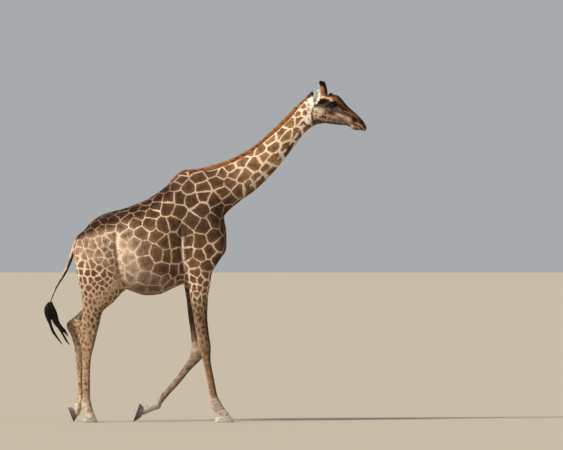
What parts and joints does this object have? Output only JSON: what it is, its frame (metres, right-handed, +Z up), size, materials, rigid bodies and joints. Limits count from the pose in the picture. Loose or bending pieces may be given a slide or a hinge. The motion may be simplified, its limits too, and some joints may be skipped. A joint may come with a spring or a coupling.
{
  "type": "giraffe, still life-size model",
  "caption": "Life-size still model of a walking adult giraffe cow with patched coat, neck mane, ossicones, cloven hooves and a black tail tuft.",
  "frame": {"origin": "on the floor under the middle of the whole animal's box", "axes": "+X is the way it walks, +Y is its left side, +Z is up"},
  "size_m": [3.5488, 0.748, 3.7565],
  "materials": {
    "coat": "short flat fur, brown patches on a cream ground",
    "coat_pale": "short cream fur",
    "mane_hair": "stiff upright russet hair",
    "tail_hair": "long coarse black hair",
    "ossicone_hair": "short brown fur with a black tip",
    "hoof_horn": "dusty worn horn",
    "eye": "wet and glossy"
  },
  "bodies": {
    "root": {"trunk": "coat", "neck": "coat", "head": "coat", "tail": "coat_pale", "tail_tuft": "tail_hair", "mane": "mane_hair", "leg_fore_right": "coat", "leg_fore_left": "coat", "leg_hind_right": "coat", "leg_hind_left": "coat", "ear_left": "coat_pale", "ear_right": "coat_pale", "ossicone_left": "ossicone_hair", "ossicone_right": "ossicone_hair", "eye_left": "eye", "eye_right": "eye", "hoof_fore_right_inner": "hoof_horn", "hoof_fore_right_outer": "hoof_horn", "hoof_fore_left_inner": "hoof_horn", "hoof_fore_left_outer": "hoof_horn", "hoof_hind_right_inner": "hoof_horn", "hoof_hind_right_outer": "hoof_horn", "hoof_hind_left_inner": "hoof_horn", "hoof_hind_left_outer": "hoof_horn"}
  },
  "joints": []
}
